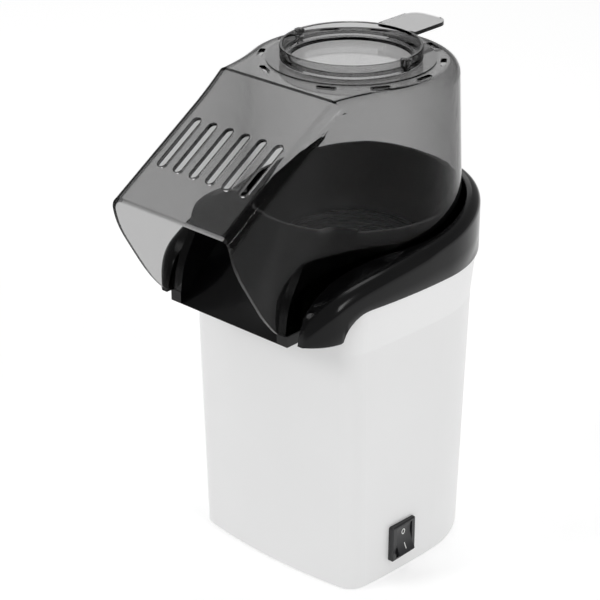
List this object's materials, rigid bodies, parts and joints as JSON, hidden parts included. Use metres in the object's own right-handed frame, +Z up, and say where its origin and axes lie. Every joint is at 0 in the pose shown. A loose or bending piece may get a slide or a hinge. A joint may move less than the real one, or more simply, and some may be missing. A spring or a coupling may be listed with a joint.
{
  "type": "popcorn maker",
  "caption": "Hot-air popcorn maker with a tapered housing, a collar with two arms, a lift-off smoked hood with a chute, and a measuring cup that hangs in the hood's opening.",
  "frame": {"origin": "on the table, in the middle of the overall width and depth", "axes": "+Z up, -Y towards the chute at the front, +X towards the side with the rocker switch"},
  "size_m": [0.1424, 0.206, 0.29],
  "materials": {
    "white_plastic": "gloss",
    "black_plastic": "gloss",
    "smoked_plastic": "gloss",
    "aluminium": "satin",
    "steel": "satin",
    "rubber": "matt",
    "mica": "matt",
    "heating_wire": "satin",
    "ferrite": "matt",
    "brass": "satin",
    "circuit_board": "matt",
    "switch_plastic": "satin"
  },
  "bodies": {
    "machine": {"housing": "white_plastic", "collar": "black_plastic", "base_plate": "black_plastic", "rubber_feet": "rubber", "base_screws": "steel", "popping_chamber": "aluminium", "air_jacket": "aluminium", "jacket_screws": "steel", "thermostat": "steel", "thermal_fuse": "brass", "heater_frame": "mica", "heater_coil": "heating_wire", "fan_case": "black_plastic", "motor_bracket": "steel", "motor_screws": "steel", "motor_can": "steel", "motor_end_cap": "black_plastic", "motor_magnets": "ferrite", "motor_bushings": "brass", "rectifier_board": "circuit_board", "board_screws": "steel", "diodes": "black_plastic", "suppression_capacitor": "switch_plastic", "terminal_block": "white_plastic", "cord_gland": "rubber", "switch_body": "switch_plastic", "switch_terminals": "brass"},
    "fan": {"motor_shaft": "steel", "motor_armature": "ferrite", "motor_commutator": "brass", "impeller": "black_plastic", "fan_nut": "brass"},
    "rocker": {"rocker_button": "switch_plastic"},
    "hood": {"hood_shell": "smoked_plastic", "chute_base": "black_plastic"},
    "cup": {"measuring_cup": "smoked_plastic"}
  },
  "joints": [
    {"name": "fan_spin", "type": "hinge", "parent": "machine", "child": "fan", "pos_m": [0, 0.0318, 0], "axis": [0, 0, 1], "continuous": true},
    {"name": "rocker_hinge", "type": "hinge", "parent": "machine", "child": "rocker", "pos_m": [0.0606, 0.0081, 0.0215], "axis": [0, 1, 0], "range_deg": [0, 22]},
    {"name": "hood_lift", "type": "slide", "parent": "machine", "child": "hood", "axis": [0, 0, 1], "range_m": [0, 0.14]},
    {"name": "cup_lift", "type": "slide", "parent": "hood", "child": "cup", "axis": [0, 0, 1], "range_m": [0, 0.06]}
  ]
}
